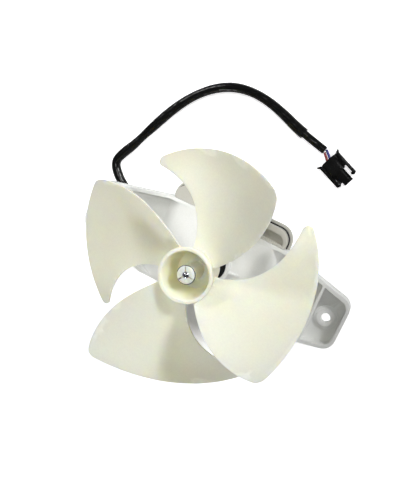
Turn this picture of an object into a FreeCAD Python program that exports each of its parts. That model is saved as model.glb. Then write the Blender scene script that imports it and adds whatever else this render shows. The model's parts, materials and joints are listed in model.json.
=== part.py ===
import FreeCAD, Part
import math
import os
import re

import Sketcher

# Axial fan with a flat motor on a two-footed moulded bracket
# Frame: Z is the shaft axis, X runs from foot to foot, and the back of the rear cover lies on Z = 0

os.makedirs("parts", exist_ok=True)
V = FreeCAD.Vector
UP = V(0, 0, 1)
doc = FreeCAD.newDocument("fan_assembly")

# Driving dimensions in millimetres and degrees

SIZES = [
    ("tip_radius", 75), ("blade_count", 4), ("blade_thickness", 2.3), ("impeller_turn", 25.3),
    ("horn_radius", 3.4), ("corner_radius", 8.5), ("hub_plane", 78), ("hub_front_radius", 17.2),
    ("hub_back_radius", 12.5), ("hub_length", 34), ("hub_wall", 2.4), ("cup_depth", 23),
    ("cup_floor", 2), ("hub_rib_thickness", 1.2), ("collet_radius", 5.5), ("collet_setback", 1.8),
    ("collet_slot", 0.8), ("collet_slot_depth", 10), ("collet_bore_clearance", 0.01),
    ("spring_wire_radius", 0.33), ("spring_setback", 3), ("spring_gap_angle", 50), ("spring_leg", 1.9),
    ("shaft_radius", 2), ("shaft_setback", 1), ("shaft_foot", 2.6), ("shaft_dome", 0.9),
    ("wall_top", 22), ("arm_depth", 8), ("arm_floor", 2), ("bracket_wall", 2.4),
    ("middle_half_length", 43.5), ("half_width", 29.2), ("arm_reach", 95.7), ("end_half_width", 17),
    ("end_corner_radius", 9), ("ramp_top", 34), ("ramp_foot", 44), ("plateau_thickness", 2),
    ("foot_hole_reach", 83.8), ("foot_hole_diameter", 6), ("foot_boss_radius", 6.2),
    ("foot_boss_rise", 1.8), ("foot_ring_radius", 7.9), ("foot_ring_rise", 0.8), ("foot_rib_reach", 74.2),
    ("foot_rib_thickness", 1.8), ("collar_radius", 14.4), ("collar_bore", 12.2), ("collar_rise", 6),
    ("gusset_length", 7), ("gusset_rise", 4.8), ("gusset_thickness", 1.4),
    ("box_half_length", 31.5), ("box_low_edge", 25.4), ("bay_half_length", 41), ("bay_edge", 40.7),
    ("bay_gap", 0.3), ("bay_corner_radius", 8.4), ("box_corner_radius", 4), ("lid_thickness", 3.4),
    ("lid_gap", 0.2), ("band_drop", 1), ("recess_start", 15), ("recess_half_length", 38.5),
    ("recess_edge", 36.9), ("recess_inset", 1.5), ("recess_depth", 3.3), ("recess_radius", 5.2),
    ("seal_height", 1.6), ("seal_width", 2.2), ("seal_overhang", 0.9),
    ("cover_overhang", 0.4), ("flange_overhang", 2.5), ("flange_depth", 2.5),
    ("cover_clearance", 2), ("cover_wall", 1.6), ("cover_plate", 2), ("pillar_radius", 3.2),
    ("pillar_inset", 6.5), ("bay_pillar_inset", 5.5), ("screw_radius", 1.5), ("screw_head_radius", 2.8), ("screw_head_height", 1.5),
    ("screw_clearance", 0.2), ("bracket_screw_circle", 21.5),
    ("cap_radius", 11.9), ("cap_flange", 2), ("cap_boss_radius", 7), ("cap_rise", 5.2),
    ("bearing_radius", 5), ("bearing_height", 4), ("bearing_fit", 0.04), ("running_fit", 0.03),
    ("bearing_lip", 1.4), ("stator_radius", 22), ("stator_bore", 10.9), ("stator_foot", 7.5),
    ("stator_height", 6), ("stator_yoke", 3), ("tooth_count", 6), ("tooth_width", 4.4),
    ("tooth_shoe_angle", 46), ("tooth_shoe", 1.6), ("coil_build", 1.7), ("coil_length", 4.6),
    ("insulator_build", 0.5), ("ring_wall", 1.7), ("ring_fit", 0.05), ("magnet_radius", 10.4),
    ("magnet_bore", 5.2), ("magnet_height", 7), ("rotor_foot", 7), ("spacer_radius", 3.2),
    ("spacer_gap", 0.3), ("board_height", 3.4), ("board_thickness", 1.6), ("board_gap", 3),
    ("board_notch_gap", 0.5), ("board_post_radius", 2),
    ("clip_radius", 3.6), ("clip_height", 0.6), ("clip_gap", 0.4),
    ("gland_across", 10), ("gland_height", 6.4), ("gland_flange_radius", 4.3),
    ("gland_flange", 1.4), ("gland_neck_radius", 3.7), ("cord_diameter", 5.6),
    ("end_sleeve_diameter", 5.2), ("wire_diameter", 1.7), ("wire_spread", 1.15),
    ("connector_length", 20), ("connector_width", 9.2), ("connector_height", 6.2),
    ("latch_reach", 3.35), ("latch_thickness", 2), ("latch_width", 4.4), ("wire_entry_gap", 0.12),
    ("wire_entry_depth", 1.2), ("connector_bevel", 1.8), ("contact_pitch", 3),
]

sheet = doc.addObject("Spreadsheet::Sheet", "Sizes")
for row, (name, value) in enumerate(SIZES, 1):
    sheet.set("A%d" % row, name)
    sheet.set("B%d" % row, str(value))
    sheet.setAlias("B%d" % row, name)

# Blade stations from root to tip: radius, then angle and height of the leading edge, height of the
# middle, and angle and height of the trailing edge, with heights from the plane of the hub's rim.
# Radii and heights are shares of the tip radius, angles are degrees.

STATION_SIZES = ("radius", "lead_angle", "lead_height", "middle_height", "trail_angle", "trail_height")
STATIONS = [
    (0.15, 85.9, -0.152, -0.146, 10.3, -0.104),
    (0.393, 82.1, -0.205, -0.124, 17.6, 0.035),
    (0.6, 90.6, -0.276, -0.144, 23.2, 0.115),
    (0.8, 102.9, -0.373, -0.205, 30.2, 0.152),
    (1.0, 116.2, -0.515, -0.296, 39.4, 0.172),
]
for row, station in enumerate(STATIONS, len(SIZES) + 1):
    for column, name, value in zip("BCDEFG", STATION_SIZES, station):
        cell = "%s%d" % (column, row)
        sheet.set(cell, str(value))
        sheet.setAlias(cell, "station_%s_%s" % (chr(96 + row - len(SIZES)), name))
doc.recompute()


def size(name):
    """Value of one named size."""
    return float(getattr(sheet, name))


def bound(text):
    """Expression with the sheet's name put before each size it uses."""
    names = [name for name, value in SIZES]
    return re.sub(r"[a-z_]+", lambda found: "Sizes." * (found.group() in names) + found.group(), text)


def level(text):
    """Value of a bound expression."""
    return float(sheet.evalExpression(bound(text)))


def origin_plane(body, role):
    return [item for item in body.Origin.OriginFeatures if item.Role == role][0]


def new_body(label):
    body = doc.addObject("PartDesign::Body", label)
    body.Label = label
    return body


def add_sketch(body, name, role, outlines=(), circles=(), lift=None):
    """Sketch of closed straight-sided outlines and circles, every place bound to the sheet."""
    sketch = body.newObject("Sketcher::SketchObject", name)
    sketch.AttachmentSupport = [(origin_plane(body, role), "")]
    sketch.MapMode = "FlatFace"
    if lift:
        sketch.setExpression("AttachmentOffset.Base.z", bound(lift))
    for outline in outlines:
        spots = [(bound(across), bound(along)) for across, along in outline]
        places = [V(sketch.evalExpression(a), sketch.evalExpression(b), 0) for a, b in spots]
        first = sketch.GeometryCount
        count = len(spots)
        for number in range(count):
            sketch.addGeometry(Part.LineSegment(places[number], places[(number + 1) % count]))
        for number in range(count):
            here, after = first + number, first + (number + 1) % count
            sketch.addConstraint(Sketcher.Constraint("Coincident", here, 2, after, 1))
        for number, (across, along) in enumerate(spots):
            pin_point(sketch, first + number, 1, places[number], across, along)
    for across, along, radius in circles:
        across, along, radius = bound(across), bound(along), bound(radius)
        centre = V(sketch.evalExpression(across), sketch.evalExpression(along), 0)
        value = sketch.evalExpression(radius)
        number = sketch.addGeometry(Part.Circle(centre, UP, value))
        pin_point(sketch, number, 3, centre, across, along)
        rule = sketch.addConstraint(Sketcher.Constraint("Radius", number, value))
        sketch.setExpression("Constraints[%d]" % rule, radius)
    return sketch


def pin_point(sketch, number, point, place, across, along):
    for kind, value, text in (("DistanceX", place.x, across), ("DistanceY", place.y, along)):
        rule = sketch.addConstraint(Sketcher.Constraint(kind, -1, 1, number, point, value))
        sketch.setExpression("Constraints[%d]" % rule, text)


def add_pad(body, sketch, length, name, both_ways=False, downward=False):
    pad = body.newObject("PartDesign::Pad", name)
    pad.Profile = sketch
    pad.setExpression("Length", bound(length))
    pad.Midplane = both_ways
    pad.Reversed = downward
    body.Tip = pad
    doc.recompute()
    return pad


def add_pocket(body, sketch, depth, name, upward=False):
    """Pocket that must take material away."""
    before = body.Shape.Volume
    pocket = body.newObject("PartDesign::Pocket", name)
    pocket.Profile = sketch
    pocket.setExpression("Length", bound(depth))
    pocket.Reversed = upward
    body.Tip = pocket
    doc.recompute()
    if body.Shape.Volume >= before:
        raise RuntimeError("%s in %s cuts nothing" % (name, body.Label))
    return pocket


def add_turning(body, sketch, name):
    turning = body.newObject("PartDesign::Revolution", name)
    turning.Profile = sketch
    turning.ReferenceAxis = (sketch, ["V_Axis"])
    turning.Angle = 360
    body.Tip = turning
    doc.recompute()
    return turning


def add_fillet(body, radius, name, wanted):
    """Fillet on the edges of the body so far whose middle points pass the test."""
    base = body.Tip
    edges = []
    for number, edge in enumerate(base.Shape.Edges, 1):
        middle = edge.valueAt((edge.FirstParameter + edge.LastParameter) / 2)
        ends = [vertex.Point for vertex in edge.Vertexes]
        if len(ends) == 2 and wanted(middle, ends[1] - ends[0]):
            edges.append("Edge%d" % number)
    if not edges:
        raise RuntimeError("%s in %s finds no edge" % (name, body.Label))
    fillet = body.newObject("PartDesign::Fillet", name)
    fillet.Base = (base, edges)
    fillet.setExpression("Radius", bound(radius))
    body.Tip = fillet
    doc.recompute()
    return fillet


def upright(step):
    return abs(step.x) < 0.01 and abs(step.y) < 0.01


def box_outline(left, right, low, high):
    return [(left, low), (right, low), (right, high), (left, high)]


def disc(radius, foot, height, x=0.0, y=0.0):
    return Part.makeCylinder(radius, height, V(x, y, foot))


def tube(outer, inner, foot, height, x=0.0, y=0.0):
    return disc(outer, foot, height, x, y).cut(disc(inner, foot, height, x, y))


def add_solid(label, shape, place=None):
    """Piece whose shape is worked out from the sheet."""
    piece = doc.addObject("Part::Feature", label)
    piece.Label = label
    piece.Shape = shape
    if place:
        piece.Placement = place
    return piece


def turned_solid(profile):
    """Solid turned about Z from points given as radius and height."""
    wire = Part.makePolygon([V(radius, 0, height) for radius, height in profile + profile[:1]])
    return Part.Face(wire).revolve(V(0, 0, 0), UP, 360)


# Bracket: a shallow two-armed tray with a flat middle, a collar round the motor and a screw foot at each end

ARM_BACK = "(wall_top - arm_depth - arm_floor)"
LID_TOP = "(wall_top - plateau_thickness - lid_gap)"
LID_FOOT = "(wall_top - plateau_thickness - lid_gap - lid_thickness)"
COVER_TOP = "(wall_top - plateau_thickness - lid_gap - lid_thickness - seal_height)"
BAY_LOW = "(half_width + bay_gap)"
BOARD_HALF = "(box_half_length - board_gap)"
BOARD_LOW = "(box_low_edge - board_gap)"
BOARD_HIGH = "(bay_edge - board_gap)"


def mounting_bracket():
    body = new_body("mounting_bracket")
    outer = [
        ("arm_reach", "-1 * end_half_width"), ("arm_reach", "end_half_width"),
        ("middle_half_length", "half_width"), ("-1 * middle_half_length", "half_width"),
        ("-1 * arm_reach", "end_half_width"), ("-1 * arm_reach", "-1 * end_half_width"),
        ("-1 * middle_half_length", "-1 * half_width"), ("middle_half_length", "-1 * half_width"),
    ]
    sketch = add_sketch(body, "bracket_outline", "XY_Plane", [outer], lift=ARM_BACK)
    add_pad(body, sketch, "arm_depth + arm_floor", "bracket_block")
    inside = "(end_half_width - bracket_wall)"
    outlines = []
    for side in ("1", "-1"):
        outlines.append([
            (side + " * (arm_reach - bracket_wall)", "-1 * " + inside),
            (side + " * (arm_reach - bracket_wall)", inside),
            (side + " * middle_half_length", "half_width - bracket_wall"),
            (side + " * ramp_top", "half_width - bracket_wall"),
            (side + " * ramp_top", "-1 * (half_width - bracket_wall)"),
            (side + " * middle_half_length", "-1 * (half_width - bracket_wall)"),
        ])
    sketch = add_sketch(body, "arm_hollows", "XY_Plane", outlines, lift="wall_top")
    add_pocket(body, sketch, "arm_depth", "arm_trays")
    reach, wall = size("arm_reach"), size("bracket_wall")
    add_fillet(body, "end_corner_radius - bracket_wall", "tray_corners",
               lambda middle, step: upright(step) and abs(abs(middle.x) - reach + wall) < 0.1)
    add_fillet(body, "end_corner_radius", "end_corners",
               lambda middle, step: upright(step) and abs(abs(middle.x) - reach) < 0.1)

    ramps = []
    for side in ("1", "-1"):
        ramps.append([
            (side + " * (ramp_top - plateau_thickness)", "wall_top"), (side + " * ramp_top", "wall_top"),
            (side + " * ramp_foot", "wall_top - arm_depth"),
            (side + " * ramp_foot", "wall_top - arm_depth - arm_floor"),
            (side + " * (ramp_top - plateau_thickness)", "wall_top - arm_depth - arm_floor"),
        ])
    sketch = add_sketch(body, "ramp_profile", "XZ_Plane", ramps)
    add_pad(body, sketch, "2 * half_width - bracket_wall", "ramps", both_ways=True)

    opening = box_outline("-1 * (box_half_length + cover_clearance)", "box_half_length + cover_clearance",
                          "-1 * (half_width - bracket_wall)", "half_width + bracket_wall")
    sketch = add_sketch(body, "motor_space_outline", "XY_Plane", [opening], lift=ARM_BACK)
    add_pocket(body, sketch, "arm_depth + arm_floor - plateau_thickness", "motor_space", upward=True)

    sketch = add_sketch(body, "collar_outline", "XY_Plane", circles=[("0", "0", "collar_radius")],
                        lift="wall_top - plateau_thickness")
    add_pad(body, sketch, "collar_rise + plateau_thickness", "collar")
    reach_in, reach_out = "(collar_radius - 0.5)", "(collar_radius + gusset_length)"
    for role, name in (("XZ_Plane", "gussets_along"), ("YZ_Plane", "gussets_across")):
        webs = []
        for side in ("1", "-1"):
            webs.append([
                (side + " * " + reach_in, "wall_top - 0.5 * plateau_thickness"),
                (side + " * " + reach_out, "wall_top - 0.5 * plateau_thickness"),
                (side + " * " + reach_out, "wall_top + 0.4"),
                (side + " * " + reach_in, "wall_top + gusset_rise"),
            ])
        sketch = add_sketch(body, name + "_profile", role, webs)
        add_pad(body, sketch, "gusset_thickness", name, both_ways=True)
    sketch = add_sketch(body, "collar_bore_outline", "XY_Plane", circles=[("0", "0", "collar_bore")],
                        lift="wall_top + collar_rise")
    add_pocket(body, sketch, "collar_rise + plateau_thickness", "motor_bore")

    centres = [(side + " * foot_hole_reach", "0") for side in ("1", "-1")]
    for name, radius, rise in (("foot_rings", "foot_ring_radius", "foot_ring_rise"),
                               ("foot_bosses", "foot_boss_radius", "foot_boss_rise")):
        sketch = add_sketch(body, name + "_outline", "XY_Plane", circles=[(x, y, radius) for x, y in centres],
                            lift="wall_top - arm_depth - 0.5 * arm_floor")
        add_pad(body, sketch, "0.5 * arm_floor + " + rise, name)
    sketch = add_sketch(body, "foot_hole_outline", "XY_Plane",
                        circles=[(x, y, "0.5 * foot_hole_diameter") for x, y in centres], lift="wall_top")
    add_pocket(body, sketch, "arm_depth + arm_floor", "foot_holes")

    rib_half = "(half_width - (half_width - end_half_width) * (foot_rib_reach - middle_half_length)"
    rib_half += " / (arm_reach - middle_half_length) - 0.5 * bracket_wall)"
    ribs = [box_outline(side + " * (foot_rib_reach - 0.5 * foot_rib_thickness)",
                        side + " * (foot_rib_reach + 0.5 * foot_rib_thickness)",
                        "-1 * " + rib_half, rib_half) for side in ("1", "-1")]
    sketch = add_sketch(body, "foot_rib_outline", "XY_Plane", ribs, lift="wall_top - arm_depth - 0.5 * arm_floor")
    add_pad(body, sketch, "arm_depth + 0.5 * arm_floor", "foot_ribs")

    centres = [("bracket_screw_circle * cos(%d)" % angle, "bracket_screw_circle * sin(%d)" % angle)
               for angle in BRACKET_SCREW_ANGLES]
    sketch = add_sketch(body, "bracket_screw_holes_outline", "XY_Plane",
                        circles=[(x, y, "screw_radius + screw_clearance") for x, y in centres], lift="wall_top")
    add_pocket(body, sketch, "plateau_thickness", "bracket_screw_holes")
    return body


BRACKET_SCREW_ANGLES = (104, 222, 318)


# Motor box: a lid with a side bay, a rubber seal under it and a deep cover behind

def bay_outline(grow, inset="0"):
    """Outline of the motor box with its wider side bay, moved out by one size and its step by another."""
    box = "(box_half_length + %s)" % grow
    bay = "(bay_half_length + %s)" % grow
    low = "-1 * (box_low_edge + %s)" % grow
    high = "(bay_edge + %s)" % grow
    step = "(%s + %s)" % (BAY_LOW, inset)
    return [("-1 * " + box, low), (box, low), (box, step), (bay, step), (bay, high),
            ("-1 * " + bay, high), ("-1 * " + bay, step), ("-1 * " + box, step)]


def round_outline(body, grow, name):
    """Fillets on the bay's two far corners and the box's two low corners."""
    corners = (("bay_corner_radius", "bay_half_length", level("bay_edge + " + grow)),
               ("box_corner_radius", "box_half_length", -level("box_low_edge + " + grow)))
    for radius, half, along in corners:
        across = level(half + " + " + grow)
        add_fillet(body, radius + " + " + grow, name + "_" + radius,
                   lambda middle, step: upright(step) and abs(abs(middle.x) - across) < 0.1
                   and abs(middle.y - along) < 0.1)


def pillar_spots():
    """Centres of the four cover screws."""
    near = "(box_half_length - pillar_inset)"
    far = "(bay_half_length - pillar_inset)"
    low = "-1 * (box_low_edge - pillar_inset)"
    high = "(bay_edge - bay_pillar_inset)"
    return [("-1 * " + near, low), (near, low), (far, high), ("-1 * " + far, high)]


def motor_housing():
    body = new_body("motor_housing")
    sketch = add_sketch(body, "lid_outline", "XY_Plane", [bay_outline("0")], lift=LID_FOOT)
    add_pad(body, sketch, "lid_thickness", "lid")
    band = box_outline("-1 * bay_half_length", "bay_half_length", BAY_LOW, "bay_edge")
    sketch = add_sketch(body, "band_outline", "XY_Plane", [band], lift=LID_FOOT)
    add_pad(body, sketch, "lid_thickness + lid_gap + plateau_thickness - band_drop", "band")
    round_outline(body, "0", "lid")
    band_top = "wall_top - band_drop"
    recess = box_outline("-1 * recess_start", "recess_half_length", BAY_LOW + " + recess_inset", "recess_edge")
    sketch = add_sketch(body, "recess_outline", "XY_Plane", [recess], lift=band_top)
    add_pocket(body, sketch, "recess_depth", "recess")
    edge, right = size("recess_edge"), size("recess_half_length")
    floor = size("wall_top") - size("band_drop") - size("recess_depth")
    add_fillet(body, "recess_radius", "recess_corner",
               lambda middle, step: upright(step) and abs(middle.y - edge) < 0.1
               and abs(middle.x - right) < 0.1 and middle.z > floor)
    sketch = add_sketch(body, "ring_outline", "XY_Plane", circles=[
        ("0", "0", "stator_radius + ring_fit"), ("0", "0", "stator_radius + ring_fit + ring_wall")],
        lift=LID_FOOT)
    add_pad(body, sketch, LID_FOOT + " - stator_foot - 0.3 * stator_height", "stator_ring", downward=True)
    sketch = add_sketch(body, "lid_boss_outline", "XY_Plane",
                        circles=[(x, y, "pillar_radius") for x, y in pillar_spots()], lift=LID_FOOT)
    add_pad(body, sketch, "seal_height", "lid_bosses", downward=True)
    sketch = add_sketch(body, "lid_holes_outline", "XY_Plane",
                        circles=[(x, y, "screw_radius - screw_clearance") for x, y in pillar_spots()],
                        lift=COVER_TOP)
    add_pocket(body, sketch, "seal_height + 0.25 * lid_thickness", "lid_screw_holes", upward=True)
    centres = [("bracket_screw_circle * cos(%d)" % angle, "bracket_screw_circle * sin(%d)" % angle)
               for angle in BRACKET_SCREW_ANGLES]
    circles = [(x, y, "screw_radius - screw_clearance") for x, y in centres]
    circles.append(("0", "0", "cap_boss_radius + bearing_fit"))
    sketch = add_sketch(body, "lid_top_holes_outline", "XY_Plane", circles=circles, lift=LID_TOP)
    add_pocket(body, sketch, "lid_thickness", "lid_top_holes")
    return body


def housing_seal():
    body = new_body("housing_seal")
    inner = "(seal_overhang - seal_width)"
    sketch = add_sketch(body, "seal_outline", "XY_Plane",
                        [bay_outline("seal_overhang"), bay_outline(inner, "seal_width")], lift=COVER_TOP)
    add_pad(body, sketch, "seal_height", "seal")
    round_outline(body, inner, "seal_inner")
    round_outline(body, "seal_overhang", "seal_outer")
    return body


def rear_cover():
    body = new_body("rear_cover")
    sketch = add_sketch(body, "cover_outline", "XY_Plane", [bay_outline("cover_overhang")])
    add_pad(body, sketch, COVER_TOP, "cover_block")
    far, edge = "(bay_half_length + flange_overhang)", "(bay_edge + flange_overhang)"
    flange = box_outline("-1 * " + far, far, BAY_LOW, edge)
    sketch = add_sketch(body, "cover_flange_outline", "XY_Plane", [flange], lift=COVER_TOP)
    add_pad(body, sketch, "flange_depth", "cover_flange", downward=True)
    inner = "(cover_overhang - cover_wall)"
    sketch = add_sketch(body, "cover_hollow_outline", "XY_Plane", [bay_outline(inner, "cover_wall")],
                        lift=COVER_TOP)
    add_pocket(body, sketch, COVER_TOP + " - cover_plate", "cover_hollow")
    round_outline(body, inner, "cover_inner")
    round_outline(body, "cover_overhang", "cover_outer")
    across, along = level(far), level(edge)
    add_fillet(body, "bay_corner_radius + flange_overhang", "cover_flange_corners",
               lambda middle, step: upright(step) and abs(abs(middle.x) - across) < 0.1
               and abs(middle.y - along) < 0.1)
    sketch = add_sketch(body, "pillar_outline", "XY_Plane",
                        circles=[(x, y, "pillar_radius") for x, y in pillar_spots()], lift="0.5 * cover_plate")
    add_pad(body, sketch, COVER_TOP + " - 0.5 * cover_plate", "pillars")
    sketch = add_sketch(body, "bearing_boss_outline", "XY_Plane",
                        circles=[("0", "0", "bearing_radius + 2")], lift="0.5 * cover_plate")
    add_pad(body, sketch, "0.5 * cover_plate + bearing_height", "bearing_boss")
    sketch = add_sketch(body, "bearing_seat_outline", "XY_Plane",
                        circles=[("0", "0", "bearing_radius + bearing_fit")],
                        lift="cover_plate + bearing_height")
    add_pocket(body, sketch, "bearing_height", "bearing_seat")
    sketch = add_sketch(body, "board_post_outline", "XY_Plane",
                        circles=[(x, y, "board_post_radius") for x, y in board_spots()],
                        lift="0.5 * cover_plate")
    add_pad(body, sketch, "board_height - 0.5 * cover_plate", "board_posts")
    sketch = add_sketch(body, "cover_screw_holes_outline", "XY_Plane",
                        circles=[(x, y, "screw_radius + screw_clearance") for x, y in pillar_spots()])
    add_pocket(body, sketch, COVER_TOP, "cover_screw_holes", upward=True)
    sketch = add_sketch(body, "cover_screw_seats_outline", "XY_Plane",
                        circles=[(x, y, "screw_head_radius + screw_clearance") for x, y in pillar_spots()])
    add_pocket(body, sketch, "screw_head_height + screw_clearance", "cover_screw_seats", upward=True)
    sketch = add_sketch(body, "gland_hole_outline", "YZ_Plane",
                        circles=[("gland_across", "gland_height", "gland_neck_radius")],
                        lift="-1 * (box_half_length + cover_overhang + 0.5)")
    add_pocket(body, sketch, "cover_wall + 1", "gland_hole", upward=True)
    return body


def board_spots():
    """Centres of the posts under the circuit board."""
    return [("-1 * " + BOARD_HALF + " + 2 * board_post_radius", "-0.4 * " + BOARD_LOW),
            (BOARD_HALF + " - 2 * board_post_radius", "-0.4 * " + BOARD_LOW), ("0", "0.8 * half_width")]


def spots(pairs):
    """Places of bound centres as numbers."""
    return [(sheet.evalExpression(bound(x)), sheet.evalExpression(bound(y))) for x, y in pairs]


def cross_head_screw(head_radius, head_height, shank_radius, length):
    """Screw with its head's bearing face at Z = 0, the head above and a cross recess in it."""
    head = turned_solid([(0, 0), (head_radius, 0), (head_radius, 0.55 * head_height),
                         (0.7 * head_radius, head_height), (0, head_height)])
    point = 0.8 * shank_radius
    shank = turned_solid([(0, -length), (0.4 * shank_radius, -length), (shank_radius, point - length),
                          (shank_radius, 0), (0, 0)])
    slot_length, slot_width = 1.1 * head_radius, 0.3 * head_radius
    screw = head.fuse(shank)
    for turn in (0, 90):
        slot = Part.makeBox(slot_length, slot_width, head_height,
                            V(-0.5 * slot_length, -0.5 * slot_width, 0.45 * head_height))
        slot.rotate(V(0, 0, 0), UP, turn)
        screw = screw.cut(slot)
    return screw.removeSplitter()


def cover_screws():
    length = level(COVER_TOP) - size("screw_head_height") + size("seal_height") + 0.15 * size("lid_thickness")
    group = []
    for x, y in spots(pillar_spots()):
        screw = cross_head_screw(size("screw_head_radius"), size("screw_head_height"),
                                 size("screw_radius") - size("screw_clearance"), length)
        screw.rotate(V(0, 0, 0), V(1, 0, 0), 180)
        screw.translate(V(x, y, size("screw_head_height") + size("screw_clearance")))
        group.append(screw)
    return add_solid("cover_screws", Part.makeCompound(group))


def bracket_screws():
    length = size("plateau_thickness") + size("lid_gap") + 0.9 * size("lid_thickness")
    group = []
    for angle in BRACKET_SCREW_ANGLES:
        turn = math.radians(angle)
        screw = cross_head_screw(size("screw_head_radius"), size("screw_head_height"),
                                 size("screw_radius") - size("screw_clearance"), length)
        screw.translate(V(size("bracket_screw_circle") * math.cos(turn),
                          size("bracket_screw_circle") * math.sin(turn), size("wall_top")))
        group.append(screw)
    return add_solid("bracket_screws", Part.makeCompound(group))


# Motor: bearings, wound stator, board and the magnet rotor on its shaft

def bearing_cap():
    body = new_body("bearing_cap")
    shoulder = LID_FOOT + " - bearing_lip + bearing_height"
    seat = "(bearing_radius + bearing_fit)"
    foot = "(" + LID_FOOT + " - bearing_lip)"
    profile = [
        (seat, foot), ("cap_boss_radius", foot), ("cap_boss_radius", LID_TOP), ("cap_radius", LID_TOP),
        ("cap_radius", LID_TOP + " + 0.6 * cap_flange"), ("cap_radius - 0.8", LID_TOP + " + cap_flange"),
        ("cap_boss_radius + 0.6", LID_TOP + " + cap_flange"),
        ("cap_boss_radius - 0.6", LID_TOP + " + cap_flange + cap_rise"),
        ("shaft_radius + 0.8", LID_TOP + " + cap_flange + cap_rise"),
        ("shaft_radius + 0.8", shoulder), (seat, shoulder),
    ]
    sketch = add_sketch(body, "cap_profile", "XZ_Plane", [profile])
    add_turning(body, sketch, "cap")
    return body


def sleeve_bearing(label, foot):
    """Ball-race outline: a ring with rounded corners and a shallow groove in each face."""
    inner, outer = size("shaft_radius") + size("running_fit"), size("bearing_radius")
    height = size("bearing_height")
    ring = tube(outer, inner, foot, height)
    edges = [edge for edge in ring.Edges if edge.Curve.TypeId == "Part::GeomCircle" and edge.Curve.Radius > inner + 1]
    ring = ring.makeChamfer(0.3, edges)
    middle = 0.5 * (inner + outer)
    for groove_foot in (foot, foot + height - 0.3):
        ring = ring.cut(tube(middle + 0.7, middle - 0.7, groove_foot, 0.3))
    return add_solid(label, ring)


def sector(inner, outer, foot, height, half_angle):
    """Ring sector centred on +X."""
    ring = Part.makeCylinder(outer, height, V(0, 0, foot), UP, 2 * half_angle)
    ring = ring.cut(disc(inner, foot, height))
    ring.rotate(V(0, 0, 0), UP, -half_angle)
    return ring


def tooth_turns():
    count = int(size("tooth_count"))
    return [360.0 * number / count for number in range(count)]


def stator_core():
    foot, height = size("stator_foot"), size("stator_height")
    outer, bore = size("stator_radius"), size("stator_bore")
    core = tube(outer, outer - size("stator_yoke"), foot, height)
    shoe_outer = bore + size("tooth_shoe")
    tooth = Part.makeBox(outer - bore - size("stator_yoke"), size("tooth_width"), height,
                         V(bore + 0.5 * size("tooth_shoe"), -0.5 * size("tooth_width"), foot))
    tooth = tooth.fuse(sector(bore, shoe_outer, foot, height, 0.5 * size("tooth_shoe_angle")))
    for turn in tooth_turns():
        arm = tooth.copy()
        arm.rotate(V(0, 0, 0), UP, turn)
        core = core.fuse(arm)
    return add_solid("stator_core", core.removeSplitter())


def coil_block(grow, reach_in, reach_out, label_turn):
    """Block round one tooth, grown past the tooth by one size on each side."""
    width = size("tooth_width") + 2 * grow
    block = Part.makeBox(reach_out - reach_in, width, size("stator_height") + 2 * grow,
                         V(reach_in, -0.5 * width, size("stator_foot") - grow))
    along = [edge for edge in block.Edges if abs(edge.Vertexes[1].X - edge.Vertexes[0].X) > 0.1]
    block = block.makeFillet(0.6 * grow, along)
    block.rotate(V(0, 0, 0), UP, label_turn)
    return block


def stator_windings():
    """Insulating bobbin and winding on every tooth, each kind in a group of its own."""
    middle = 0.5 * (size("stator_bore") + size("tooth_shoe") + size("stator_radius") - size("stator_yoke"))
    start, stop = middle - 0.5 * size("coil_length"), middle + 0.5 * size("coil_length")
    flange = 0.35
    bobbins, coils = [], []
    for turn in tooth_turns():
        hole = Part.makeBox(3 * size("coil_length"), size("tooth_width"), size("stator_height"),
                            V(start - size("coil_length"), -0.5 * size("tooth_width"), size("stator_foot")))
        hole.rotate(V(0, 0, 0), UP, turn)
        skin = coil_block(size("insulator_build"), start, stop, turn)
        build = size("insulator_build") + size("coil_build")
        bobbin = skin.copy()
        for face_start in (start, stop - flange):
            bobbin = bobbin.fuse(coil_block(0.8 * build, face_start, face_start + flange, turn))
        bobbins.append(bobbin.cut(hole).removeSplitter())
        coil = coil_block(build, start + flange, stop - flange, turn)
        coils.append(coil.cut(skin))
    add_solid("coil_bobbins", Part.makeCompound(bobbins))
    return add_solid("stator_coils", Part.makeCompound(coils))


def circuit_board():
    body = new_body("circuit_board")
    notch = "(pillar_inset + pillar_radius + board_notch_gap)"
    side, foot = "(box_half_length - " + notch + ")", "(box_low_edge - " + notch + ")"
    outline = [("-1 * " + BOARD_HALF, "-1 * " + foot), ("-1 * " + side, "-1 * " + foot),
               ("-1 * " + side, "-1 * " + BOARD_LOW), (side, "-1 * " + BOARD_LOW), (side, "-1 * " + foot),
               (BOARD_HALF, "-1 * " + foot), (BOARD_HALF, BOARD_HIGH), ("-1 * " + BOARD_HALF, BOARD_HIGH)]
    sketch = add_sketch(body, "board_outline", "XY_Plane", [outline],
                        circles=[("0", "0", "bearing_radius + 2.6")], lift="board_height")
    add_pad(body, sketch, "board_thickness", "board")
    return body


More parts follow.
